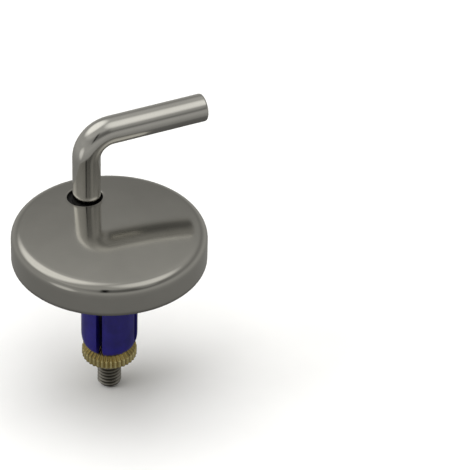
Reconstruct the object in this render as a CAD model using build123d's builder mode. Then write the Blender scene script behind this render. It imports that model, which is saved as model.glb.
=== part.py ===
"""Top-fix toilet seat hinge, one unit of a pair.

A bent steel pin stands off-centre in a cast base that a polished cover hides. A screw runs from the base down
through a split expansion plug into a cone nut. Turning the screw draws the nut up, and its cone spreads the
plug's legs in the blind hole of the toilet pan.

Frame: origin on the plug's axis in the plane of the pan's surface, +Z up, +X along the pin's arm. Millimetres.
"""

import os
from math import asin, cos, degrees, pi, radians, sin, sqrt, tan

from build123d import *

PARTS_FOLDER = "parts"
GAP = 0.05  # between pieces that bear on each other

# Cover: a pressed cup of thin sheet, slightly crowned
COVER_R = 24.0
COVER_SHEET = 0.6
COVER_FOOT = 0.3  # the rim stays clear of the pan
COVER_TOP = 9.6
COVER_EDGE_R = 2.6
CROWN_R = 250.0
COVER_HOLE_R = 4.4
COVER_HOLE_X = -0.5  # the hole sits a little off the pin's axis

# Hinge pin: a round rod bent through a right angle
PIN_R = 3.5
PIN_OFFSET = 14.0
PIN_BEND_R = 6.4  # at the rod's centre line
ARM_Z = 27.2
ARM_REACH = 31.3
PIN_END_CHAMFER = 0.6
PIN_GROOVE_DEPTH = 0.5

# Pad and base
PAD_T = 1.2
PAD_R = 22.8
PAD_HOLE_R = 7.5
BASE_R = 22.3
BASE_FLOOR_T = 2.3
BASE_WALL_T = 2.0
BASE_WALL_TOP = 6.8
BASE_RIB_T = 1.6
BASE_RIB_TOP = 5.4
BASE_RIB_ANGLES = (150, 198, 246, 294, 342, 30)
SCREW_BOSS_R = 8.6
SCREW_BOSS_TOP = 6.2
PIN_BOSS_R = 6.8
PIN_BOSS_TOP = 7.1
SOCKET_FLOOR_T = 0.9

# Rubber rings
GRIP_RING_WIRE_R = 0.8
GRIP_RING_Z = 2.4
SEAL_R = 5.6
SEAL_T = 0.8

# Set screw, M3, lying along Y with its cone point in the pin's groove
SET_SCREW_R = 1.45
SET_SCREW_Z = 5.0
SET_SCREW_KEY = 1.5
SET_SCREW_KEY_DEPTH = 1.5
SET_SCREW_OUTER_Y = 21.8

# Fixing screw, M6 x 45 with a countersunk socket head
SCREW_R = 2.98
SCREW_LENGTH = 45.0
SCREW_HEAD_TOP = 5.9
SCREW_HEAD_R = 5.7
SCREW_HEAD_LAND = 0.3
SCREW_KEY = 4.2
SCREW_KEY_DEPTH = 2.4
SCREW_TIP_CHAMFER = 0.9
THREAD_PITCH = 1.0
THREAD_DEPTH = 0.61
THREAD_LENGTH = 24.0
THREAD_FLAT = 0.14  # width of the crest, along the axis
SHANK_HOLE_R = 3.3
CUP_WASHER_T = 0.8
CUP_WASHER_R = 6.0

# Expansion plug: a collar with legs parted by slots
PLUG_R = 7.0
COLLAR_R = 7.3
SPIGOT_R = 6.0  # the collar's upper end, under the base
COLLAR_BOTTOM = -8.0
PLUG_TAPER_Z = -22.7
PLUG_BOTTOM = -26.3
PLUG_TIP_R = 5.4
LEG_COUNT = 4
SLOT_WIDTH = 1.6
FIRST_SLOT_ANGLE = 45.0

# Cone nut: a knurled band under a cone that starts inside the legs
NUT_R = 6.85
NUT_BOTTOM = -30.0
NUT_CHAMFER = 0.45
NUT_NOSE_R = 3.9
NUT_BORE_R = 3.05
CONE_ANGLE = 40.0  # from the plane of the nut
CONE_GAP = 0.08  # along the axis, between the cone and the legs
KNURL_COUNT = 36
KNURL_DEPTH = 0.4
KNURL_CREST = 0.24

SCREW_CONE_Z = SCREW_HEAD_TOP - SCREW_HEAD_LAND - (SCREW_HEAD_R - SCREW_R)  # the 90 degree head meets the shank
SCREW_TIP_Z = SCREW_HEAD_TOP - SCREW_LENGTH
BASE_FLOOR_TOP = PAD_T + BASE_FLOOR_T
CONE_SLOPE = tan(radians(CONE_ANGLE))

os.makedirs(PARTS_FOLDER, exist_ok=True)


def crown_point(lean, inset):
    """Point (r, z) on the crown, or inset below it, where its normal leans from the upright by that angle."""
    curve_r = CROWN_R - inset
    return curve_r * sin(lean), COVER_TOP - CROWN_R + curve_r * cos(lean)


def head_cone_z(radius, offset):
    """Height of the 90 degree cone of the screw's head, or of the cone that lies offset below it."""
    return SCREW_CONE_Z + radius - SCREW_R - offset * sqrt(2)


def leg_cone_z(radius):
    """Height of the cone in the mouth of the plug's legs."""
    return PLUG_BOTTOM + (PLUG_TIP_R - radius) * CONE_SLOPE


# Cover disc: outer and inner skin in one revolved profile, then the hole for the pin
edge_centre_r = COVER_R - COVER_EDGE_R
edge_lean = asin(edge_centre_r / (CROWN_R - COVER_EDGE_R))
edge_centre_z = COVER_TOP - CROWN_R + (CROWN_R - COVER_EDGE_R) * cos(edge_lean)
edge_arc = 90 - degrees(edge_lean)
with BuildPart() as cover_disc:
    with BuildSketch(Plane.XZ):
        with BuildLine():
            for inset in (0, COVER_SHEET):
                ThreePointArc(*[crown_point(edge_lean * share, inset) for share in (0, 0.5, 1)])
                CenterArc((edge_centre_r, edge_centre_z), COVER_EDGE_R - inset, 0, edge_arc)
                Line((COVER_R - inset, edge_centre_z), (COVER_R - inset, COVER_FOOT))
            Line((COVER_R, COVER_FOOT), (COVER_R - COVER_SHEET, COVER_FOOT))
            Line(crown_point(0, 0), crown_point(0, COVER_SHEET))
        make_face()
    revolve(axis=Axis.Z)
    with BuildSketch(Plane.XY.offset(edge_centre_z)):
        with Locations((COVER_HOLE_X, PIN_OFFSET)):
            Circle(COVER_HOLE_R)
    extrude(amount=COVER_TOP, mode=Mode.SUBTRACT)
    fillet(cover_disc.edges().group_by(Axis.Z)[0], COVER_SHEET * 0.4)
cover_disc.part.label = "cover_disc"
export_step(cover_disc.part, f"{PARTS_FOLDER}/cover_disc.step")

# Hinge pin: the rod swept up its riser, round the bend and along its arm
pin_foot_z = PAD_T + SOCKET_FLOOR_T + GAP
groove_rise = PIN_GROOVE_DEPTH + 0.2
with BuildPart() as hinge_pin:
    with BuildLine() as pin_line:
        FilletPolyline(
            (0, PIN_OFFSET, pin_foot_z),
            (0, PIN_OFFSET, ARM_Z),
            (ARM_REACH, PIN_OFFSET, ARM_Z),
            radius=PIN_BEND_R,
        )
    with BuildSketch(Plane((0, PIN_OFFSET, pin_foot_z))):
        Circle(PIN_R)
    sweep(path=pin_line.line)
    chamfer(hinge_pin.edges().sort_by(Axis.X)[-1], PIN_END_CHAMFER)
    chamfer(hinge_pin.edges().sort_by(Axis.Z)[0], PIN_END_CHAMFER / 2)
    with BuildSketch(Plane.XZ.offset(-PIN_OFFSET)):
        with BuildLine():
            Polyline(
                (PIN_R - PIN_GROOVE_DEPTH, SET_SCREW_Z),
                (PIN_R + 0.2, SET_SCREW_Z + groove_rise),
                (PIN_R + 0.2, SET_SCREW_Z - groove_rise),
                close=True,
            )
        make_face()
    revolve(axis=Axis((0, PIN_OFFSET, 0), (0, 0, 1)), mode=Mode.SUBTRACT)
hinge_pin.part.label = "hinge_pin"
export_step(hinge_pin.part, f"{PARTS_FOLDER}/hinge_pin.step")

# Seal washer on the pin's boss, seen in the gap round the pin
with BuildPart() as pin_seal_washer:
    with BuildSketch(Plane.XY.offset(PIN_BOSS_TOP + GAP)):
        with Locations((0, PIN_OFFSET)):
            Circle(SEAL_R)
            Circle(PIN_R, mode=Mode.SUBTRACT)
    extrude(amount=SEAL_T)
    chamfer(pin_seal_washer.edges().group_by(Axis.Z)[-1], 0.15)
pin_seal_washer.part.label = "pin_seal_washer"
export_step(pin_seal_washer.part, f"{PARTS_FOLDER}/pin_seal_washer.step")

# Base body: a ribbed casting with a boss for the screw and a socket for the pin
washer_under = CUP_WASHER_T + 2 * GAP
washer_bore_r = CUP_WASHER_R + GAP
with BuildPart() as base_body:
    with BuildSketch(Plane.XY.offset(PAD_T)):
        Circle(BASE_R)
    extrude(amount=BASE_FLOOR_T)
    with BuildSketch(Plane.XY.offset(PAD_T)):
        Circle(BASE_R)
        Circle(BASE_R - BASE_WALL_T, mode=Mode.SUBTRACT)
    extrude(amount=BASE_WALL_TOP - PAD_T)
    for rib_angle in BASE_RIB_ANGLES:
        with BuildSketch(Plane.XY.offset(PAD_T).rotated((0, 0, rib_angle))):
            with Locations(((SCREW_BOSS_R + BASE_R - BASE_WALL_T) / 2, 0)):
                Rectangle(BASE_R - BASE_WALL_T - SCREW_BOSS_R + 1, BASE_RIB_T)
        extrude(amount=BASE_RIB_TOP - PAD_T)
    with BuildSketch(Plane.XY.offset(PAD_T)):
        Circle(SCREW_BOSS_R)
    extrude(amount=SCREW_BOSS_TOP - PAD_T)
    with BuildSketch(Plane.XY.offset(PAD_T)):
        with Locations((0, PIN_OFFSET)):
            Circle(PIN_BOSS_R)
    extrude(amount=PIN_BOSS_TOP - PAD_T)
    with BuildSketch(Plane.XZ):
        with BuildLine():
            Polyline(
                (0, PAD_T - 1),
                (SHANK_HOLE_R, PAD_T - 1),
                (SHANK_HOLE_R, head_cone_z(SHANK_HOLE_R, washer_under)),
                (washer_bore_r, head_cone_z(washer_bore_r, washer_under)),
                (washer_bore_r, PIN_BOSS_TOP + 1),
                (0, PIN_BOSS_TOP + 1),
                close=True,
            )
        make_face()
    revolve(axis=Axis.Z, mode=Mode.SUBTRACT)
    with BuildSketch(Plane.XY.offset(PAD_T + SOCKET_FLOOR_T)):
        with Locations((0, PIN_OFFSET)):
            Circle(PIN_R + GAP)
    extrude(amount=PIN_BOSS_TOP, mode=Mode.SUBTRACT)
    with BuildSketch(Plane.XZ.offset(-PIN_OFFSET)):
        with Locations((0, SET_SCREW_Z)):
            Circle(SET_SCREW_R + GAP)
    extrude(amount=-BASE_R, mode=Mode.SUBTRACT)
    with BuildSketch(Plane.XZ):
        with Locations((BASE_R, GRIP_RING_Z)):
            Rectangle(1.2, 2 * GRIP_RING_WIRE_R + 2 * GAP)
    revolve(axis=Axis.Z, mode=Mode.SUBTRACT)
base_body.part.label = "base_body"
export_step(base_body.part, f"{PARTS_FOLDER}/base_body.step")

# Grip ring in the base's groove
with BuildPart() as cover_grip_ring:
    with BuildSketch(Plane.XZ):
        with Locations((COVER_R - COVER_SHEET - GAP - GRIP_RING_WIRE_R, GRIP_RING_Z)):
            Circle(GRIP_RING_WIRE_R)
    revolve(axis=Axis.Z)
cover_grip_ring.part.label = "cover_grip_ring"
export_step(cover_grip_ring.part, f"{PARTS_FOLDER}/cover_grip_ring.step")

# Pad under the base
with BuildPart() as base_pad:
    with BuildSketch():
        Circle(PAD_R)
        Circle(PAD_HOLE_R, mode=Mode.SUBTRACT)
    extrude(amount=PAD_T)
    fillet(base_pad.edges().group_by(Axis.Z)[0].sort_by(SortBy.LENGTH)[-1], 0.4)
base_pad.part.label = "base_pad"
export_step(base_pad.part, f"{PARTS_FOLDER}/base_pad.step")

# Set screw
set_screw_point_y = PIN_OFFSET + PIN_R - PIN_GROOVE_DEPTH + 2 * GAP
with BuildPart() as pin_set_screw:
    with BuildSketch(Plane((0, 0, SET_SCREW_Z), x_dir=(0, 1, 0), z_dir=(1, 0, 0))):
        with BuildLine():
            Polyline(
                (set_screw_point_y, 0),
                (set_screw_point_y + SET_SCREW_R, SET_SCREW_R),
                (SET_SCREW_OUTER_Y - 0.2, SET_SCREW_R),
                (SET_SCREW_OUTER_Y, SET_SCREW_R - 0.2),
                (SET_SCREW_OUTER_Y, 0),
                close=True,
            )
        make_face()
    revolve(axis=Axis((0, 0, SET_SCREW_Z), (0, 1, 0)))
    with BuildSketch(Plane((0, SET_SCREW_OUTER_Y, SET_SCREW_Z), x_dir=(1, 0, 0), z_dir=(0, 1, 0))):
        RegularPolygon(SET_SCREW_KEY / 2, 6, major_radius=False)
    extrude(amount=-SET_SCREW_KEY_DEPTH, mode=Mode.SUBTRACT)
pin_set_screw.part.label = "pin_set_screw"
export_step(pin_set_screw.part, f"{PARTS_FOLDER}/pin_set_screw.step")

# Cup washer: a cone of even thickness under the screw's head
with BuildPart() as cup_washer:
    with BuildSketch(Plane.XZ):
        with BuildLine():
            Polyline(
                (SHANK_HOLE_R, head_cone_z(SHANK_HOLE_R, GAP)),
                (CUP_WASHER_R, head_cone_z(CUP_WASHER_R, GAP)),
                (CUP_WASHER_R, head_cone_z(CUP_WASHER_R, GAP + CUP_WASHER_T)),
                (SHANK_HOLE_R, head_cone_z(SHANK_HOLE_R, GAP + CUP_WASHER_T)),
                close=True,
            )
        make_face()
    revolve(axis=Axis.Z)
cup_washer.part.label = "cup_washer"
export_step(cup_washer.part, f"{PARTS_FOLDER}/cup_washer.step")

# Fixing screw: the turned blank, then the groove of a right-hand thread, then the key
groove_overcut = 0.15
groove_floor_half = 0.06
groove_top_half = (THREAD_PITCH - THREAD_FLAT) / 2
groove_top_half += groove_overcut * (groove_top_half - groove_floor_half) / THREAD_DEPTH
with BuildPart() as fixing_screw:
    with BuildSketch(Plane.XZ):
        with BuildLine():
            Polyline(
                (0, SCREW_HEAD_TOP),
                (SCREW_HEAD_R, SCREW_HEAD_TOP),
                (SCREW_HEAD_R, SCREW_HEAD_TOP - SCREW_HEAD_LAND),
                (SCREW_R, SCREW_CONE_Z),
                (SCREW_R, SCREW_TIP_Z + SCREW_TIP_CHAMFER),
                (SCREW_R - SCREW_TIP_CHAMFER, SCREW_TIP_Z),
                (0, SCREW_TIP_Z),
                close=True,
            )
        make_face()
    revolve(axis=Axis.Z)
    with BuildLine() as groove_line:
        Helix(
            pitch=THREAD_PITCH,
            height=THREAD_LENGTH,
            radius=SCREW_R - THREAD_DEPTH,
            center=(0, 0, SCREW_TIP_Z - THREAD_PITCH),
        )
    groove_start = groove_line.line
    with BuildSketch(Plane(origin=groove_start @ 0, x_dir=(1, 0, 0), z_dir=groove_start % 0)):
        with BuildLine():
            Polyline(
                (0, groove_floor_half),
                (THREAD_DEPTH + groove_overcut, groove_top_half),
                (THREAD_DEPTH + groove_overcut, -groove_top_half),
                (0, -groove_floor_half),
                close=True,
            )
        make_face()
    sweep(path=groove_start, is_frenet=True, mode=Mode.SUBTRACT)
    with BuildSketch(Plane.XY.offset(SCREW_HEAD_TOP)):
        RegularPolygon(SCREW_KEY / 2, 6, major_radius=False)
    extrude(amount=-SCREW_KEY_DEPTH, mode=Mode.SUBTRACT)
fixing_screw.part.label = "fixing_screw"
export_step(fixing_screw.part, f"{PARTS_FOLDER}/fixing_screw.step")

# Plug collar: its shoulder lies in the pan's surface and its spigot reaches the base through the pad
with BuildPart() as plug_collar:
    with BuildSketch(Plane.XY.offset(COLLAR_BOTTOM)):
        Circle(COLLAR_R)
    extrude(amount=-COLLAR_BOTTOM)
    with BuildSketch(Plane.XY.offset(COLLAR_BOTTOM)):
        Circle(SPIGOT_R)
    extrude(amount=PAD_T - GAP - COLLAR_BOTTOM)
    with BuildSketch(Plane.XY.offset(COLLAR_BOTTOM)):
        Circle(SHANK_HOLE_R)
    extrude(amount=PAD_T - COLLAR_BOTTOM, mode=Mode.SUBTRACT)
plug_collar.part.label = "plug_collar"
export_step(plug_collar.part, f"{PARTS_FOLDER}/plug_collar.step")

# Plug legs: one revolved profile, parted by the slots
leg_top = COLLAR_BOTTOM - GAP
leg_arc = 360 / LEG_COUNT
for leg in range(LEG_COUNT):
    slot_angle = FIRST_SLOT_ANGLE + leg * leg_arc
    with BuildPart() as plug_leg:
        with BuildSketch(Plane.XZ.rotated((0, 0, slot_angle))):
            with BuildLine():
                Polyline(
                    (PLUG_R, PLUG_TAPER_Z),
                    (PLUG_R, leg_top),
                    (SHANK_HOLE_R, leg_top),
                    (SHANK_HOLE_R, leg_cone_z(SHANK_HOLE_R)),
                    (PLUG_TIP_R, PLUG_BOTTOM),
                )
                EllipticalCenterArc(
                    (PLUG_TIP_R, PLUG_TAPER_Z),
                    PLUG_R - PLUG_TIP_R,
                    PLUG_TAPER_Z - PLUG_BOTTOM,
                    start_angle=-90,
                    arc_size=90,
                )
            make_face()
        revolve(axis=Axis.Z, revolution_arc=leg_arc)
        for side_angle in (slot_angle, slot_angle + leg_arc):
            with BuildSketch(Plane.XY.offset(PLUG_BOTTOM - 1).rotated((0, 0, side_angle))):
                with Locations((PLUG_R, 0)):
                    Rectangle(2 * PLUG_R, SLOT_WIDTH)
            extrude(amount=leg_top + 2 - PLUG_BOTTOM, mode=Mode.SUBTRACT)
    plug_leg.part.label = f"plug_leg_{leg + 1}"
    export_step(plug_leg.part, f"{PARTS_FOLDER}/plug_leg_{leg + 1}.step")

# Cone nut: the knurled bar, turned to its cone and chamfer, and bored clear of the screw's thread
knurl_root_r = NUT_R - KNURL_DEPTH
tooth_half = pi / KNURL_COUNT * 0.94
nose_top = leg_cone_z(NUT_NOSE_R) - CONE_GAP
with BuildPart() as cone_nut:
    with BuildSketch(Plane.XY.offset(NUT_BOTTOM)):
        Circle(knurl_root_r)
        with PolarLocations(0, KNURL_COUNT):
            Polygon(
                (knurl_root_r * cos(tooth_half) - 0.05, knurl_root_r * sin(tooth_half)),
                (knurl_root_r * cos(tooth_half) - 0.05, -knurl_root_r * sin(tooth_half)),
                (NUT_R, -KNURL_CREST / 2),
                (NUT_R, KNURL_CREST / 2),
                align=None,
            )
    extrude(amount=nose_top - NUT_BOTTOM)
    with BuildSketch(Plane.XZ):
        with BuildLine():
            Polyline(
                (NUT_R - NUT_CHAMFER, NUT_BOTTOM - 1),
                (NUT_R - NUT_CHAMFER, NUT_BOTTOM),
                (NUT_R, NUT_BOTTOM + NUT_CHAMFER),
                (NUT_R, leg_cone_z(NUT_R) - CONE_GAP),
                (NUT_NOSE_R, nose_top),
                (NUT_NOSE_R, nose_top + 1),
                (NUT_R + 2, nose_top + 1),
                (NUT_R + 2, NUT_BOTTOM - 1),
                close=True,
            )
        make_face()
    revolve(axis=Axis.Z, mode=Mode.SUBTRACT)
    with BuildSketch(Plane.XY.offset(NUT_BOTTOM)):
        Circle(NUT_BORE_R)
    extrude(amount=nose_top - NUT_BOTTOM, mode=Mode.SUBTRACT)
cone_nut.part.label = "cone_nut"
export_step(cone_nut.part, f"{PARTS_FOLDER}/cone_nut.step")
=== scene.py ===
"""Looks for the top-fix toilet seat hinge: detailed pieces, materials, floor, light and camera."""

from math import asin, cos, pi, radians, sin, sqrt, tan

import bmesh
import bpy
from mathutils import Matrix, Vector


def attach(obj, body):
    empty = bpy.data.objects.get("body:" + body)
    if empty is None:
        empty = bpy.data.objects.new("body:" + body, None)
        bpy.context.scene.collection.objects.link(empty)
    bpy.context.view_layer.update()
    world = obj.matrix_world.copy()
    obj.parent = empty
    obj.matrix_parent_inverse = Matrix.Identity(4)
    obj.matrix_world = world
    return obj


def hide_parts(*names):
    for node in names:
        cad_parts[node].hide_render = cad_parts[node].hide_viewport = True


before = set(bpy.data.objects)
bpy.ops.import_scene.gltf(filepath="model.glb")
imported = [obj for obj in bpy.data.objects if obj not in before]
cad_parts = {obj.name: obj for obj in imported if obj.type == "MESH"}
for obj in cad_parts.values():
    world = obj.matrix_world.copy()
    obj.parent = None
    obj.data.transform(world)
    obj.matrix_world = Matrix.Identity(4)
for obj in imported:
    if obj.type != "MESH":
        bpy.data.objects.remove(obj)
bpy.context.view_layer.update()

MM = 0.001  # the pieces below are worked out in millimetres

# Sizes in millimetres. They follow the CAD, with small differences in the nut's cone gap, the depth of the
# knurl and the thread, where the thread runs out, and the rounding of edges.
COVER_R = 24.0
COVER_TOP = 9.6
COVER_FOOT = 0.3
COVER_SHEET = 0.6
COVER_EDGE_R = 2.6
CROWN_R = 250.0
HOLE_LIP = 0.22  # rounding of the hole's rim
HOLE_R = 4.4
HOLE_CENTRE = (-0.5, 14.0)
PIN_R = 3.5
PIN_AXIS_Y = 14.0
PIN_FOOT = 2.15
PIN_FOOT_CHAMFER = 0.3
PIN_END_ROUND = 0.55
PIN_BEND_R = 6.4
ARM_Z = 27.2
ARM_REACH = 31.3
GROOVE_Z = 5.0
GROOVE_DEPTH = 0.5
PLUG_R = 7.0
COLLAR_R = 7.3
SPIGOT_R = 6.0
SPIGOT_TOP = 1.15
COLLAR_BOTTOM = -8.0
LEG_TOP = -8.05
PLUG_TAPER_Z = -22.7
PLUG_BOTTOM = -26.3
PLUG_TIP_R = 5.4
PLUG_BORE_R = 3.3
SLOT_WIDTH = 1.6
CONE_SLOPE = tan(radians(40))
NUT_R = 6.85
NUT_BOTTOM = -30.0
NUT_CHAMFER = 0.45
NUT_NOSE_R = 3.9
NUT_BORE_R = 3.05
NUT_CONE_GAP = 0.12  # along the axis, wide enough to stay clear of the legs over the nut's whole travel
KNURLS = 36
KNURL_DEPTH = 0.42
SCREW_R = 2.98
SCREW_TOP = 5.9
SCREW_TIP = -39.1
SCREW_HEAD_R = 5.7
SCREW_HEAD_LAND = 0.3
SCREW_TIP_CHAMFER = 0.9
THREAD_PITCH = 1.0
THREAD_DEPTH = 0.6
THREAD_TOP = -16.6
KEY_ACROSS = 4.2
KEY_DEPTH = 2.4


# ---------------------------------------------------------------- mesh helpers

def ring_mesh(name, rings, loop=False):
    """A mesh of quads between successive rings of equal length. A loop joins the last ring to the first;
    otherwise both ends are closed by a face."""
    count = len(rings[0])
    verts = [(x * MM, y * MM, z * MM) for ring in rings for x, y, z in ring]
    faces = []
    spans = len(rings) if loop else len(rings) - 1
    for i in range(spans):
        a, b = i * count, (i + 1) % len(rings) * count
        for j in range(count):
            k = (j + 1) % count
            faces.append((a + j, a + k, b + k, b + j))
    if not loop:
        faces.append(tuple(range(count))[::-1])
        faces.append(tuple(range((len(rings) - 1) * count, len(rings) * count)))
    mesh = bpy.data.meshes.new(name)
    mesh.from_pydata(verts, [], faces)
    obj = bpy.data.objects.new(name, mesh)
    bpy.context.scene.collection.objects.link(obj)
    face_outward(mesh)
    return obj


def face_outward(mesh):
    """Turns every face outward."""
    bm = bmesh.new()
    bm.from_mesh(mesh)
    bmesh.ops.recalc_face_normals(bm, faces=bm.faces)
    bm.to_mesh(mesh)
    bm.free()


def circle(radius, z, count):
    """Points of a level circle round the plug's axis."""
    turn = 2 * pi / count
    return [(radius * cos(turn * j), radius * sin(turn * j), z) for j in range(count)]


def round_corner(before, corner, after, radius):
    """Points of the arc that rounds the corner of a profile in (r, z)."""
    steps = 6
    p, c, q = Vector(before), Vector(corner), Vector(after)
    u, v = (p - c).normalized(), (q - c).normalized()
    half = u.angle(v) / 2
    reach = radius / tan(half)
    centre = c + (u + v).normalized() * radius / sin(half)
    first, last = c + u * reach - centre, c + v * reach - centre
    points = []
    for i in range(steps + 1):
        mix = first.lerp(last, i / steps)
        points.append(tuple(centre + mix.normalized() * radius))
    return points


def rounded_profile(corners):
    """A closed profile in (r, z) from corners (r, z, rounding)."""
    points = []
    for i, (r, z, rounding) in enumerate(corners):
        before, after = corners[i - 1][:2], corners[(i + 1) % len(corners)][:2]
        if rounding:
            points.extend(round_corner(before, (r, z), after, rounding))
        else:
            points.append((r, z))
    return points


def bevel(obj, width):
    """Rounds the edges of a piece that are sharper than 50 degrees and applies the rounding."""
    mod = obj.modifiers.new("edge", "BEVEL")
    mod.width = width * MM
    mod.segments = 3
    mod.limit_method = "ANGLE"
    mod.angle_limit = radians(50)
    depsgraph = bpy.context.evaluated_depsgraph_get()
    mesh = bpy.data.meshes.new_from_object(obj.evaluated_get(depsgraph))
    obj.modifiers.remove(mod)
    obj.data = mesh


def smooth(obj, angle):
    """Smooth shading, with edges sharper than the angle left crisp."""
    obj.data.shade_smooth()
    obj.data.set_sharp_from_angle(angle=radians(angle))


def fit_out(obj, material, body, slot, *replaced):
    """Gives a piece its material and its body, and hides the CAD nodes that it stands for. The slot argument
    is not used.
    """
    obj.data.materials.clear()
    obj.data.materials.append(material)
    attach(obj, body)
    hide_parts(*replaced)


# ---------------------------------------------------------------- material helpers

def set_stops(ramp, stops):
    """Sets a colour ramp's stops, each a position and a grey or an rgb."""
    elements = ramp.color_ramp.elements
    while len(elements) < len(stops):
        elements.new(0.5)
    for element, (position, colour) in zip(elements, stops):
        element.position = position
        rgb = (colour,) * 3 if isinstance(colour, (int, float)) else colour
        element.color = (*rgb, 1)


class Nodes:
    """A material's node tree with short calls for the nodes used here."""

    def __init__(self, name):
        self.material = bpy.data.materials.new(name)
        self.material.use_nodes = True
        self.tree = self.material.node_tree
        self.shader = self.tree.nodes["Principled BSDF"]
        self.place = self.add("ShaderNodeTexCoord").outputs["Object"]

    def add(self, kind, **settings):
        node = self.tree.nodes.new(kind)
        for key, value in settings.items():
            setattr(node, key, value)
        return node

    def link(self, source, target):
        self.tree.links.new(source, target)

    def stretched(self, scale, turn=(0, 0, 0)):
        """Object coordinates, turned and scaled along each axis."""
        node = self.add("ShaderNodeMapping")
        node.inputs["Scale"].default_value = scale
        node.inputs["Rotation"].default_value = turn
        self.link(self.place, node.inputs["Vector"])
        return node.outputs["Vector"]

    def noise(self, scale, detail=4, roughness=0.6, vector=None):
        node = self.add("ShaderNodeTexNoise")
        node.inputs["Scale"].default_value = scale
        node.inputs["Detail"].default_value = detail
        node.inputs["Roughness"].default_value = roughness
        self.link(vector or self.place, node.inputs["Vector"])
        return node.outputs["Fac"]

    def ramp(self, value, *stops):
        """A value or a colour by stops (position, grey or rgb)."""
        node = self.add("ShaderNodeValToRGB")
        set_stops(node, stops)
        self.link(value, node.inputs["Fac"])
        return node.outputs["Color"]

    def span(self, value, low, high, from_low=0.0, from_high=1.0):
        """A value mapped to a new range."""
        node = self.add("ShaderNodeMapRange")
        limits = {"From Min": from_low, "From Max": from_high, "To Min": low, "To Max": high}
        for key, number in limits.items():
            node.inputs[key].default_value = number
        self.link(value, node.inputs["Value"])
        return node.outputs["Result"]

    def mix(self, factor, a, b):
        """A colour between two colours or two sockets."""
        node = self.add("ShaderNodeMix", data_type="RGBA")
        share, low, high = node.inputs[0], node.inputs[6], node.inputs[7]  # the colour mix's own sockets
        for item, socket in ((factor, share), (a, low), (b, high)):
            if hasattr(item, "is_linked"):
                self.link(item, socket)
            elif socket is share:
                socket.default_value = item
            else:
                socket.default_value = (*item, 1)
        return node.outputs[2]

    def radius(self):
        """Distance from the piece's own upright axis, in metres."""
        flat = self.add("ShaderNodeVectorMath", operation="MULTIPLY")
        flat.inputs[1].default_value = (1, 1, 0)
        self.link(self.place, flat.inputs[0])
        length = self.add("ShaderNodeVectorMath", operation="LENGTH")
        self.link(flat.outputs[0], length.inputs[0])
        return length.outputs["Value"]

    def bump(self, value, strength, distance):
        """Adds relief, on top of any relief already there."""
        node = self.add("ShaderNodeBump")
        node.inputs["Strength"].default_value = strength
        node.inputs["Distance"].default_value = distance
        self.link(value, node.inputs["Height"])
        target = self.shader.inputs["Normal"]
        if target.is_linked:
            self.link(target.links[0].from_socket, node.inputs["Normal"])
        self.link(node.outputs["Normal"], target)

    def finish(self, colour, roughness, metallic=0.0, specular=0.5):
        """Connects the main sockets and gives the material."""
        self.shader.inputs["Metallic"].default_value = metallic
        self.shader.inputs["Specular IOR Level"].default_value = specular
        self.link(colour, self.shader.inputs["Base Color"])
        self.link(roughness, self.shader.inputs["Roughness"])
        return self.material


def polished_steel(name, base, rough, grain=0.04):
    """Polished stainless steel: cloudy polish, faint drawn grain and fine scratches."""
    n = Nodes(name)
    cloud = n.noise(60, detail=3)
    dark = tuple(c * 0.9 for c in base)
    colour = n.mix(n.span(cloud, 0.0, 1.0, 0.3, 0.7), dark, base)
    drawn = n.noise(1, detail=5, roughness=0.7, vector=n.stretched((160, 2600, 2600)))
    slanted = n.stretched((900, 9000, 9000), turn=(0.3, 0.5, 0.9))
    scratch = n.noise(1, detail=2, roughness=0.5, vector=slanted)
    scratch_lines = n.ramp(scratch, (0.62, 0.0), (0.70, 1.0))
    wear = n.mix(0.35, n.span(drawn, 0.0, 1.0, 0.3, 0.7), scratch_lines)
    roughness = n.span(wear, rough[0], rough[1])
    n.bump(drawn, grain, 0.00002)
    return n.finish(colour, roughness, metallic=1.0)


def plug_plastic():
    """Dark blue moulded nylon, with a soft sheen, mottle and a fine moulded grain."""
    n = Nodes("plug_plastic")
    mottle = n.noise(350, detail=4)
    colour = n.ramp(mottle, (0.3, (0.0075, 0.0045, 0.120)), (0.7, (0.012, 0.007, 0.175)))
    flow = n.noise(1, detail=3, vector=n.stretched((700, 700, 60)))
    roughness = n.span(flow, 0.28, 0.46, 0.3, 0.7)
    n.bump(n.noise(9000, detail=2), 0.12, 0.00004)
    n.bump(flow, 0.25, 0.00005)
    return n.finish(colour, roughness, specular=0.35)


def brass():
    """Bright brass, with painted shade down in the knurl: its colour darkens toward the grooves' root."""
    n = Nodes("nut_brass")
    # painted shade: the brass colour darkens toward the bottom of the knurl's grooves, by distance from the
    # axis
    depth = n.span(n.radius(), 0.0, 1.0, (NUT_R - KNURL_DEPTH) * MM, NUT_R * MM)
    stain = n.noise(600, detail=5)
    crest = n.ramp(stain, (0.3, (0.86, 0.73, 0.34)), (0.7, (1.0, 0.90, 0.50)))
    colour = n.mix(depth, (0.48, 0.38, 0.15), crest)
    roughness = n.span(stain, 0.12, 0.28, 0.3, 0.7)
    n.bump(n.noise(1, detail=3, vector=n.stretched((2500, 2500, 12000))), 0.10, 0.00003)
    return n.finish(colour, roughness, metallic=1.0)


def screw_steel(name, root=None):
    """Plain dull steel. Given the radii of a thread's root and crest, it gets painted shade down in the
    thread: darker toward the root.
    """
    n = Nodes(name)
    stain = n.noise(500, detail=5)
    crest = n.ramp(stain, (0.3, (0.31, 0.30, 0.27)), (0.7, (0.49, 0.47, 0.43)))
    if root:
        # painted shade: the steel colour darkens toward the thread's root, by distance from the axis
        depth = n.span(n.radius(), 0.0, 1.0, root[0] * MM, root[1] * MM)
        colour = n.mix(depth, (0.09, 0.085, 0.075), crest)
    else:
        colour = crest
    n.bump(n.noise(5000, detail=3), 0.15, 0.00003)
    return n.finish(colour, n.span(stain, 0.26, 0.46, 0.3, 0.7), metallic=1.0)


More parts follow.
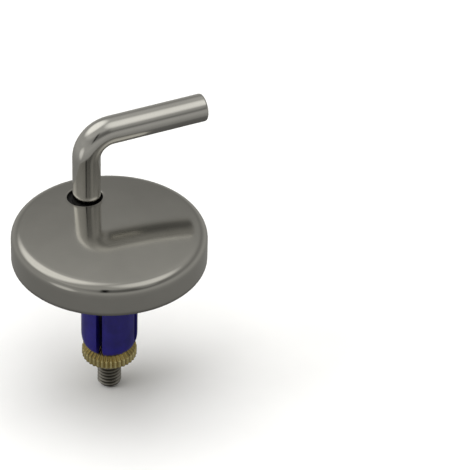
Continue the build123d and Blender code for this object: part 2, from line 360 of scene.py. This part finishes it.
def black_rubber(name, low, high, pores):
    """Matte black rubber or foam with fine pores."""
    n = Nodes(name)
    mottle = n.noise(400, detail=5)
    colour = n.ramp(mottle, (0.3, low), (0.7, high))
    n.bump(n.noise(pores, detail=3), 0.4, 0.0001)
    return n.finish(colour, n.span(mottle, 0.62, 0.85, 0.3, 0.7), specular=0.35)


def black_coating():
    """Black coated casting with an orange-peel skin."""
    n = Nodes("base_casting")
    cloud = n.noise(300, detail=4)
    colour = n.ramp(cloud, (0.3, (0.010, 0.010, 0.011)), (0.7, (0.022, 0.022, 0.023)))
    n.bump(n.noise(1600, detail=2), 0.3, 0.0001)
    return n.finish(colour, n.span(cloud, 0.35, 0.55, 0.3, 0.7))


def pale_floor():
    """A plain matte floor, very slightly uneven."""
    n = Nodes("floor_paper")
    colour = n.ramp(n.noise(40, detail=3), (0.3, (0.90, 0.90, 0.90)), (0.7, (0.93, 0.93, 0.93)))
    return n.finish(colour, n.span(n.noise(90), 0.8, 0.95), specular=0.2)


# ---------------------------------------------------------------- pieces

def crown_z(radius, sphere):
    """Height of a crown of that sphere's radius, whose centre is the cover's own."""
    return COVER_TOP - CROWN_R + sqrt(sphere ** 2 - radius ** 2)


def build_cover(material):
    """The pressed cover: crowned top, tangent rounded edge, wall, rolled foot and a rounded hole."""
    count, top_steps, edge_steps, wall_steps, roll_steps = 256, 30, 12, 7, 6
    hub = COVER_R - COVER_EDGE_R
    centre_z = COVER_TOP - CROWN_R + sqrt((CROWN_R - COVER_EDGE_R) ** 2 - hub ** 2)
    lean = asin(hub / (CROWN_R - COVER_EDGE_R))
    half_sheet = COVER_SHEET / 2

    def skin(inset, outward):
        """Rings of one skin, from the hole to the foot, or from the foot back to the hole."""
        edge_r = COVER_EDGE_R - inset
        sphere = CROWN_R - inset
        tangent_r = sphere * sin(lean)
        rings = []
        for i in range(top_steps + 1):
            t = i / top_steps
            ring = []
            for j in range(count):
                a = 2 * pi * j / count
                hole_x = HOLE_CENTRE[0] + (HOLE_R + HOLE_LIP) * cos(a)
                hole_y = HOLE_CENTRE[1] + (HOLE_R + HOLE_LIP) * sin(a)
                x = hole_x + (tangent_r * cos(a) - hole_x) * t
                y = hole_y + (tangent_r * sin(a) - hole_y) * t
                ring.append((x, y, crown_z(sqrt(x * x + y * y), sphere)))
            rings.append(ring)
        for i in range(1, edge_steps + 1):
            a = (pi / 2 - lean) * (1 - i / edge_steps)
            rings.append(circle(hub + edge_r * cos(a), centre_z + edge_r * sin(a), count))
        for i in range(1, wall_steps + 1):
            z = centre_z + (COVER_FOOT + half_sheet - centre_z) * i / wall_steps
            rings.append(circle(COVER_R - inset, z, count))
        return rings if outward else rings[::-1]

    outer, inner = skin(0.0, True), skin(COVER_SHEET, False)
    foot = []
    for i in range(1, roll_steps):
        a = -pi * i / roll_steps
        radius, z = COVER_R - half_sheet * (1 - cos(a)), COVER_FOOT + half_sheet * (1 + sin(a))
        foot.append(circle(radius, z, count))
    hole = []
    for i in range(1, roll_steps):
        a = pi * i / roll_steps
        ring = []
        for (x0, y0, z0), (x1, y1, z1) in zip(inner[-1], outer[0]):
            dx, dy = x0 - HOLE_CENTRE[0], y0 - HOLE_CENTRE[1]
            length = sqrt(dx * dx + dy * dy)
            r = length - HOLE_LIP * sin(a)
            z = (z0 + z1) / 2 - (z1 - z0) / 2 * cos(a)
            ring.append((HOLE_CENTRE[0] + dx / length * r, HOLE_CENTRE[1] + dy / length * r, z))
        hole.append(ring)
    cover = ring_mesh("cover_shell", outer + foot + inner + hole, loop=True)
    smooth(cover, 60)
    fit_out(cover, material, "cover", "cover_steel", "cover_disc")


def build_pin(material):
    """The bent rod, with its groove, the rounded end of its arm and a chamfered foot."""
    count = 96
    bend_z = ARM_Z - PIN_BEND_R
    rise = bend_z - PIN_FOOT
    bend = PIN_BEND_R * pi / 2
    arm = ARM_REACH - PIN_BEND_R
    groove = GROOVE_Z - PIN_FOOT
    # Stations: distance from the foot along the axis, and radius
    stations = [
        (0.0, PIN_R - PIN_FOOT_CHAMFER),
        (PIN_FOOT_CHAMFER, PIN_R),
        (groove - GROOVE_DEPTH, PIN_R),
        (groove, PIN_R - GROOVE_DEPTH),
        (groove + GROOVE_DEPTH, PIN_R),
    ]
    stations += [(groove + 1 + (rise - groove - 1) * i / 6, PIN_R) for i in range(7)]
    stations += [(rise + bend * i / 40, PIN_R) for i in range(1, 41)]
    straight = arm - PIN_END_ROUND
    stations += [(rise + bend + straight * i / 12, PIN_R) for i in range(1, 13)]
    for i in range(1, 9):
        a = pi / 2 * i / 8
        distance = rise + bend + straight + PIN_END_ROUND * sin(a)
        stations.append((distance, PIN_R - PIN_END_ROUND * (1 - cos(a))))
    rings = []
    for distance, radius in stations:
        if distance <= rise:
            centre, across = (0.0, PIN_FOOT + distance), (1.0, 0.0)
        elif distance <= rise + bend:
            a = (distance - rise) / PIN_BEND_R
            centre = (PIN_BEND_R * (1 - cos(a)), bend_z + PIN_BEND_R * sin(a))
            across = (cos(a), -sin(a))
        else:
            centre, across = (PIN_BEND_R + distance - rise - bend, ARM_Z), (0.0, -1.0)
        ring = []
        for j in range(count):
            a = 2 * pi * j / count
            side = radius * cos(a)
            x, z = centre[0] + across[0] * side, centre[1] + across[1] * side
            ring.append((x, PIN_AXIS_Y + radius * sin(a), z))
        rings.append(ring)
    end = rings[-1]
    for shrink in (0.93, 0.5, 0.1):  # smaller and smaller rings on the arm's flat end
        rings.append([(x, PIN_AXIS_Y + (y - PIN_AXIS_Y) * shrink, ARM_Z + (z - ARM_Z) * shrink)
                      for x, y, z in end])
    pin = ring_mesh("pin_rod", rings)
    smooth(pin, 40)
    fit_out(pin, material, "pin", "pin_steel", "hinge_pin")


def build_collar(material):
    """The plug's collar: spigot, shoulder and a fine parting line where the legs start."""
    profile = rounded_profile([
        (COLLAR_R, COLLAR_BOTTOM, 0.25),
        (COLLAR_R, 0.0, 0.15),
        (SPIGOT_R, 0.0, 0),
        (SPIGOT_R, SPIGOT_TOP, 0.2),
        (PLUG_BORE_R, SPIGOT_TOP, 0.15),
        (PLUG_BORE_R, COLLAR_BOTTOM, 0.1),
    ])
    collar = ring_mesh("plug_collar_moulding", [circle(r, z, 128) for r, z in profile], loop=True)
    smooth(collar, 40)
    fit_out(collar, material, "plug_anchor", "plug_plastic", "plug_collar")


def leg_section(outer, inner, z, middle):
    """Level section of a leg, between two slots, as a closed ring of points."""
    half = SLOT_WIDTH / 2
    arc_steps = 28
    outer_half = pi / 4 - asin(half / outer)
    inner_half = pi / 4 - asin(half / inner)
    ring = []
    for i in range(arc_steps + 1):
        a = middle - outer_half + 2 * outer_half * i / arc_steps
        ring.append((outer * cos(a), outer * sin(a), z))
    for i in range(arc_steps + 1):
        a = middle + inner_half - 2 * inner_half * i / arc_steps
        ring.append((inner * cos(a), inner * sin(a), z))
    return ring


def build_legs(material):
    """The plug's four legs, with a rounded taper at the foot and a coned mouth for the nut."""
    levels = [LEG_TOP, LEG_TOP - 1, -12.0, -16.0, -20.0, PLUG_TAPER_Z]
    steps = 14
    tip_r = PLUG_TIP_R + 0.05
    drop = PLUG_TAPER_Z - PLUG_BOTTOM
    for number in (1, 2, 3, 4):
        middle = pi / 2 * number
        rings = [leg_section(PLUG_R, PLUG_BORE_R, z, middle) for z in levels]
        for i in range(1, steps + 1):
            a = pi / 2 * i / steps
            z = PLUG_TAPER_Z - drop * sin(a) * 0.995
            outer = tip_r + (PLUG_R - tip_r) * cos(a)
            mouth = PLUG_TIP_R - (z - PLUG_BOTTOM) / CONE_SLOPE
            rings.append(leg_section(outer, max(PLUG_BORE_R, min(mouth, outer - 0.08)), z, middle))
        leg = ring_mesh(f"plug_leg_moulding_{number}", rings)
        bevel(leg, 0.14)
        smooth(leg, 40)
        fit_out(leg, material, f"leg_{number}", "plug_plastic", f"plug_leg_{number}")


def knurl(angle):
    """Depth of the knurl at an angle, from 0 on a crest to 1 in a groove."""
    phase = angle * KNURLS / (2 * pi) % 1.0
    wave = abs(2 * phase - 1)
    return min(1.0, max(0.0, (0.86 - wave) / 0.72)) ** 1.1


def build_nut(material):
    """The cone nut: a straight knurl that runs from the band up over the cone, a nose and a bore."""
    count = KNURLS * 12
    cone_top = PLUG_BOTTOM + (PLUG_TIP_R - NUT_NOSE_R) * CONE_SLOPE - NUT_CONE_GAP
    band_top = PLUG_BOTTOM + (PLUG_TIP_R - NUT_R) * CONE_SLOPE - NUT_CONE_GAP
    slant = sqrt(1 + CONE_SLOPE ** 2)
    rings = []

    def station(radius, z, depth=0.0, normal=(1, 0)):
        """A ring cut by the knurl to a depth along a normal in (r, z)."""
        ring = []
        for j in range(count):
            a = 2 * pi * j / count
            cut = depth * knurl(a)
            r = radius - cut * normal[0]
            ring.append((r * cos(a), r * sin(a), z - cut * normal[1]))
        rings.append(ring)

    # Underside, flat and plain
    for radius in (NUT_BORE_R + 0.5, NUT_R - 1.4, NUT_R - 0.75):
        station(radius, NUT_BOTTOM)
    station(NUT_R - NUT_CHAMFER - 0.1, NUT_BOTTOM + 0.05, KNURL_DEPTH * 0.3)
    # Rounded lower edge, where the knurl deepens
    for i in range(1, 6):
        a = pi / 2 * i / 5
        radius = NUT_R - NUT_CHAMFER * (1 - sin(a))
        station(radius, NUT_BOTTOM + 0.05 + NUT_CHAMFER * (1 - cos(a)), KNURL_DEPTH * (0.4 + 0.6 * i / 5))
    # Straight band and its upper edge
    for i in range(1, 9):
        station(NUT_R, NUT_BOTTOM + 0.5 + (band_top - NUT_BOTTOM - 0.62) * i / 8, KNURL_DEPTH)
    station(NUT_R - 0.06, band_top + 0.04, KNURL_DEPTH, (0.85, 0.5))
    # Cone, where the knurl fades out
    cone_normal = (CONE_SLOPE / slant, 1 / slant)
    for i in range(1, 11):
        t = i / 10
        radius = NUT_R - 0.15 + (NUT_NOSE_R + 0.15 - NUT_R) * t
        z = band_top + 0.13 + (cone_top - 0.13 - band_top) * t
        station(radius, z, KNURL_DEPTH * (1 - 0.75 * t), cone_normal)
    # Nose and bore
    station(NUT_NOSE_R - 0.15, cone_top - 0.02)
    station(NUT_BORE_R + 0.2, cone_top - 0.02)
    station(NUT_BORE_R, cone_top - 0.2)
    station(NUT_BORE_R, NUT_BOTTOM + 0.5)
    nut = ring_mesh("cone_nut_knurled", rings, loop=True)
    smooth(nut, 50)
    fit_out(nut, material, "nut", "nut_brass", "cone_nut")


def thread_radius(angle, z):
    """Radius of the right-hand thread at an angle and a height, running out at its top."""
    phase = (z / THREAD_PITCH - angle / (2 * pi)) % 1.0
    wave = 1 - abs(2 * phase - 1)
    ridge = min(1.0, max(0.0, (wave - 0.12) / 0.72))
    ridge = ridge * ridge * (3 - 2 * ridge) * 0.35 + ridge * 0.65
    runout = min(1.0, max(0.0, (THREAD_TOP - z) / 1.5))
    tip = SCREW_R - SCREW_TIP_CHAMFER + (z - SCREW_TIP)
    return min(SCREW_R - THREAD_DEPTH * (1 - ridge) * runout, tip)


def build_screw(material):
    """The fixing screw: a rolled thread, a plain shank, a countersunk head and its hexagon socket."""
    count = 96
    cone_z = SCREW_TOP - SCREW_HEAD_LAND - (SCREW_HEAD_R - SCREW_R)
    levels_per_pitch = 16
    rings = [circle(0.15, SCREW_TIP, count), circle(SCREW_R - SCREW_TIP_CHAMFER - 0.25, SCREW_TIP, count)]
    level_count = int((THREAD_TOP - SCREW_TIP) / THREAD_PITCH * levels_per_pitch)
    for i in range(level_count + 1):
        z = SCREW_TIP + 0.02 + (THREAD_TOP - SCREW_TIP) * i / level_count
        ring = []
        for j in range(count):
            a = 2 * pi * j / count
            r = thread_radius(a, z)
            ring.append((r * cos(a), r * sin(a), z))
        rings.append(ring)
    rings += [circle(SCREW_R, z, count) for z in (-12.0, -6.0, 0.0, cone_z - 0.2)]
    head = [
        (SCREW_R + 0.02, cone_z),
        (SCREW_HEAD_R - 0.08, cone_z + SCREW_HEAD_R - SCREW_R - 0.08),
        (SCREW_HEAD_R, SCREW_TOP - SCREW_HEAD_LAND + 0.02),
        (SCREW_HEAD_R, SCREW_TOP - 0.12),
        (SCREW_HEAD_R - 0.12, SCREW_TOP),
        (SCREW_HEAD_R - 2.0, SCREW_TOP),
    ]
    rings += [circle(radius, z, count) for radius, z in head]

    def hexagon(z, spread):
        """A level hexagon of the key's size, spread outward."""
        ring = []
        for j in range(count):
            a = 2 * pi * j / count
            within = (a + pi / 6) % (pi / 3) - pi / 6
            r = KEY_ACROSS / 2 / cos(within) + spread
            ring.append((r * cos(a), r * sin(a), z))
        return ring

    rings += [hexagon(SCREW_TOP, 0.12), hexagon(SCREW_TOP - 0.12, 0.0), hexagon(SCREW_TOP - KEY_DEPTH, 0.0)]
    rings.append(circle(0.15, SCREW_TOP - KEY_DEPTH - 0.4, count))
    screw = ring_mesh("screw_threaded", rings)
    smooth(screw, 50)
    fit_out(screw, material, "screw", "screw_steel", "fixing_screw")


# ---------------------------------------------------------------- stage, light and camera

VIEW_AZIMUTH = radians(-23.5)
VIEW_ELEVATION = radians(36.9)
VIEW_DISTANCE = 0.8
VIEW_RIGHT = 0.03076  # the view's middle lies this far right of the unit, and this far up
VIEW_UP = 0.0054
VIEW_WIDTH = 0.11508  # at the unit
FLOOR_R = 6000
FLOOR_THICKNESS = 5
FLOOR_GAP = 0.2  # the floor lies this far under the screw's tip
LAMP_AIM = Vector((0, 0, 0.01))


def build_camera():
    """A long lens with the unit left of its middle, rolled so that the unit's riser stands plumb."""
    data = bpy.data.cameras.new("camera")
    data.lens = data.sensor_width * VIEW_DISTANCE / VIEW_WIDTH
    camera = bpy.data.objects.new("camera", data)
    bpy.context.scene.collection.objects.link(camera)
    away = Vector((-sin(VIEW_AZIMUTH) * cos(VIEW_ELEVATION), cos(VIEW_AZIMUTH) * cos(VIEW_ELEVATION),
                   -sin(VIEW_ELEVATION)))
    right = Vector((cos(VIEW_AZIMUTH), sin(VIEW_AZIMUTH), 0))
    up = right.cross(away)
    aim = (away * VIEW_DISTANCE + right * VIEW_RIGHT + up * VIEW_UP).normalized()
    plumb = Vector((0, 0, 1)) * aim.dot(away) - away * aim.z
    side = aim.cross(plumb).normalized()
    top = side.cross(aim)
    turn = Matrix((side, top, -aim)).transposed()
    camera.matrix_world = Matrix.Translation(-away * VIEW_DISTANCE) @ turn.to_4x4()
    bpy.context.scene.camera = camera


def from_camera(side_angle, elevation, distance):
    """A place at that angle round the unit, counted from the camera's side, positive to the right."""
    a = VIEW_AZIMUTH + radians(side_angle)
    e = radians(elevation)
    return Vector((sin(a) * cos(e), -cos(a) * cos(e), sin(e))) * distance


def soft_light(name, place, size, radiance):
    """A soft square light aimed at the unit, as bright all over as its radiance says."""
    data = bpy.data.lights.new(name, "AREA")
    data.size = size
    data.energy = radiance * pi * size ** 2
    lamp = bpy.data.objects.new(name, data)
    bpy.context.scene.collection.objects.link(lamp)
    lamp.location = place
    lamp.rotation_euler = (LAMP_AIM - place).to_track_quat("-Z", "Y").to_euler()
    lamp.visible_glossy = False


# Greys of the surroundings by height, from straight down at 0 to straight up at 1
HEIGHT_GREYS = (
    (0.0, 0.10), (0.13, 0.14), (0.2, 0.24), (0.47, 0.38),
    (0.65, 0.34), (0.73, 0.30), (0.82, 0.44), (1.0, 0.42),
)
# Factor on those greys in a band above the horizon, by side: the back at 0 and 1, the left at 0.25, the
# camera at 0.5 and the right at 0.75. A nearly black strip stands just left of the camera.
SIDE_FACTORS = (
    (0.0, 0.8), (0.2, 1.05), (0.3, 1.2), (0.4, 1.05), (0.469, 0.8), (0.478, 0.02),
    (0.493, 0.02), (0.502, 0.48), (0.58, 0.42), (0.65, 0.55), (0.75, 0.8), (1.0, 0.8),
)
# Soft bright patches, in degrees: angle from the camera's side, elevation, how far from the patch's middle it
# stays full, how far it reaches, and then its amount
BRIGHT_PATCHES = (
    (-121, 54, 16, 36, 0.66),
    (75, 64, 4, 30, 0.48),
    (-50, -7, 4, 19, 0.36),
    (45, 34, 2, 15, 0.13),
)


def build_world():
    """Surroundings for the steel to mirror: greys by height, changed by side above the horizon, and soft
    bright patches. The camera itself sees a pale backdrop."""
    world = bpy.data.worlds.new("studio")
    bpy.context.scene.world = world
    world.use_nodes = True
    tree = world.node_tree

    def math(operation, a, b, c=0.0):
        node = tree.nodes.new("ShaderNodeMath")
        node.operation = operation
        for key, item in enumerate((a, b, c)):
            if hasattr(item, "is_linked"):
                tree.links.new(item, node.inputs[key])
            else:
                node.inputs[key].default_value = item
        return node.outputs[0]

    def along(direction):
        node = tree.nodes.new("ShaderNodeVectorMath")
        node.operation = "DOT_PRODUCT"
        tree.links.new(place, node.inputs[0])
        node.inputs[1].default_value = direction
        return node.outputs["Value"]

    def ramp(value, stops):
        node = tree.nodes.new("ShaderNodeValToRGB")
        set_stops(node, stops)
        tree.links.new(value, node.inputs["Fac"])
        return node.outputs["Color"]

    def rise(value, start, end, top):
        node = tree.nodes.new("ShaderNodeMapRange")
        node.interpolation_type = "SMOOTHSTEP"
        for key, number in (("From Min", start), ("From Max", end), ("To Max", top)):
            node.inputs[key].default_value = number
        tree.links.new(value, node.inputs["Value"])
        return node.outputs["Result"]

    place = tree.nodes.new("ShaderNodeTexCoord").outputs["Generated"]
    height = along((0, 0, 1))
    by_height = ramp(math("MULTIPLY_ADD", height, 0.5, 0.5), HEIGHT_GREYS)
    turn = math("ARCTAN2", along(from_camera(90, 0, 1)), along(from_camera(0, 0, 1)))
    by_side = ramp(math("MULTIPLY_ADD", turn, 0.5 / pi, 0.5), SIDE_FACTORS)
    band = math("SUBTRACT", rise(height, 0.1, 0.35, 1), rise(height, 0.6, 0.8, 1))
    factor = math("MULTIPLY_ADD", math("SUBTRACT", by_side, 1), band, 1)
    bright = math("MULTIPLY", by_height, factor)
    for side, elevation, full, end, amount in BRIGHT_PATCHES:
        patch = rise(along(from_camera(side, elevation, 1)), cos(radians(end)), cos(radians(full)), amount)
        bright = math("ADD", bright, patch)
    surroundings = tree.nodes["Background"]
    surroundings.inputs["Color"].default_value = (1.0, 0.985, 0.93, 1)
    tree.links.new(bright, surroundings.inputs["Strength"])
    backdrop = tree.nodes.new("ShaderNodeBackground")
    backdrop.inputs["Color"].default_value = (0.97, 0.97, 0.97, 1)
    either = tree.nodes.new("ShaderNodeMixShader")
    tree.links.new(tree.nodes.new("ShaderNodeLightPath").outputs["Is Camera Ray"], either.inputs["Fac"])
    tree.links.new(surroundings.outputs[0], either.inputs[1])
    tree.links.new(backdrop.outputs[0], either.inputs[2])
    tree.links.new(either.outputs[0], tree.nodes["World Output"].inputs["Surface"])


def build_stage():
    """A pale floor just under the screw's tip and two soft lights, which the steel doesn't mirror."""
    floor_z = SCREW_TIP - FLOOR_GAP
    rings = [circle(radius, floor_z, 96) for radius in (10, 60, 200, 600, 2000, FLOOR_R)]
    floor = ring_mesh("floor", rings + [circle(FLOOR_R, floor_z - FLOOR_THICKNESS, 96)])
    floor.data.materials.append(pale_floor())
    floor.visible_glossy = False
    build_world()
    soft_light("ceiling", Vector((0, 0, 0.8)), 0.9, 2.3)
    soft_light("left_window", from_camera(-75, 35, 0.8), 0.5, 2.6)


# ---------------------------------------------------------------- making

build_camera()
pin_steel = polished_steel("pin_steel", (0.74, 0.73, 0.70), (0.10, 0.18))
cover_steel = polished_steel("cover_steel", (0.57, 0.56, 0.53), (0.09, 0.16), grain=0.02)
plug_blue = plug_plastic()
dull_steel = screw_steel("screw_steel")
build_cover(cover_steel)
build_pin(pin_steel)
build_collar(plug_blue)
build_legs(plug_blue)
build_nut(brass())
build_screw(screw_steel("screw_thread_steel", root=(SCREW_R - THREAD_DEPTH, SCREW_R)))

carried_over = {
    "base_body": black_coating(),
    "base_pad": black_rubber("pad_rubber", (0.035, 0.035, 0.036), (0.06, 0.06, 0.06), 5000),
    "cover_grip_ring": black_rubber("ring_rubber", (0.008, 0.008, 0.008), (0.02, 0.02, 0.02), 7000),
    "pin_seal_washer": black_rubber("seal_rubber", (0.006, 0.006, 0.006), (0.015, 0.015, 0.015), 7000),
    "cup_washer": dull_steel,
    "pin_set_screw": dull_steel,
}
for node, material in carried_over.items():
    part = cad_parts[node]
    part.data.materials.clear()
    part.data.materials.append(material)

build_stage()
bpy.context.scene.view_settings.view_transform = "Standard"
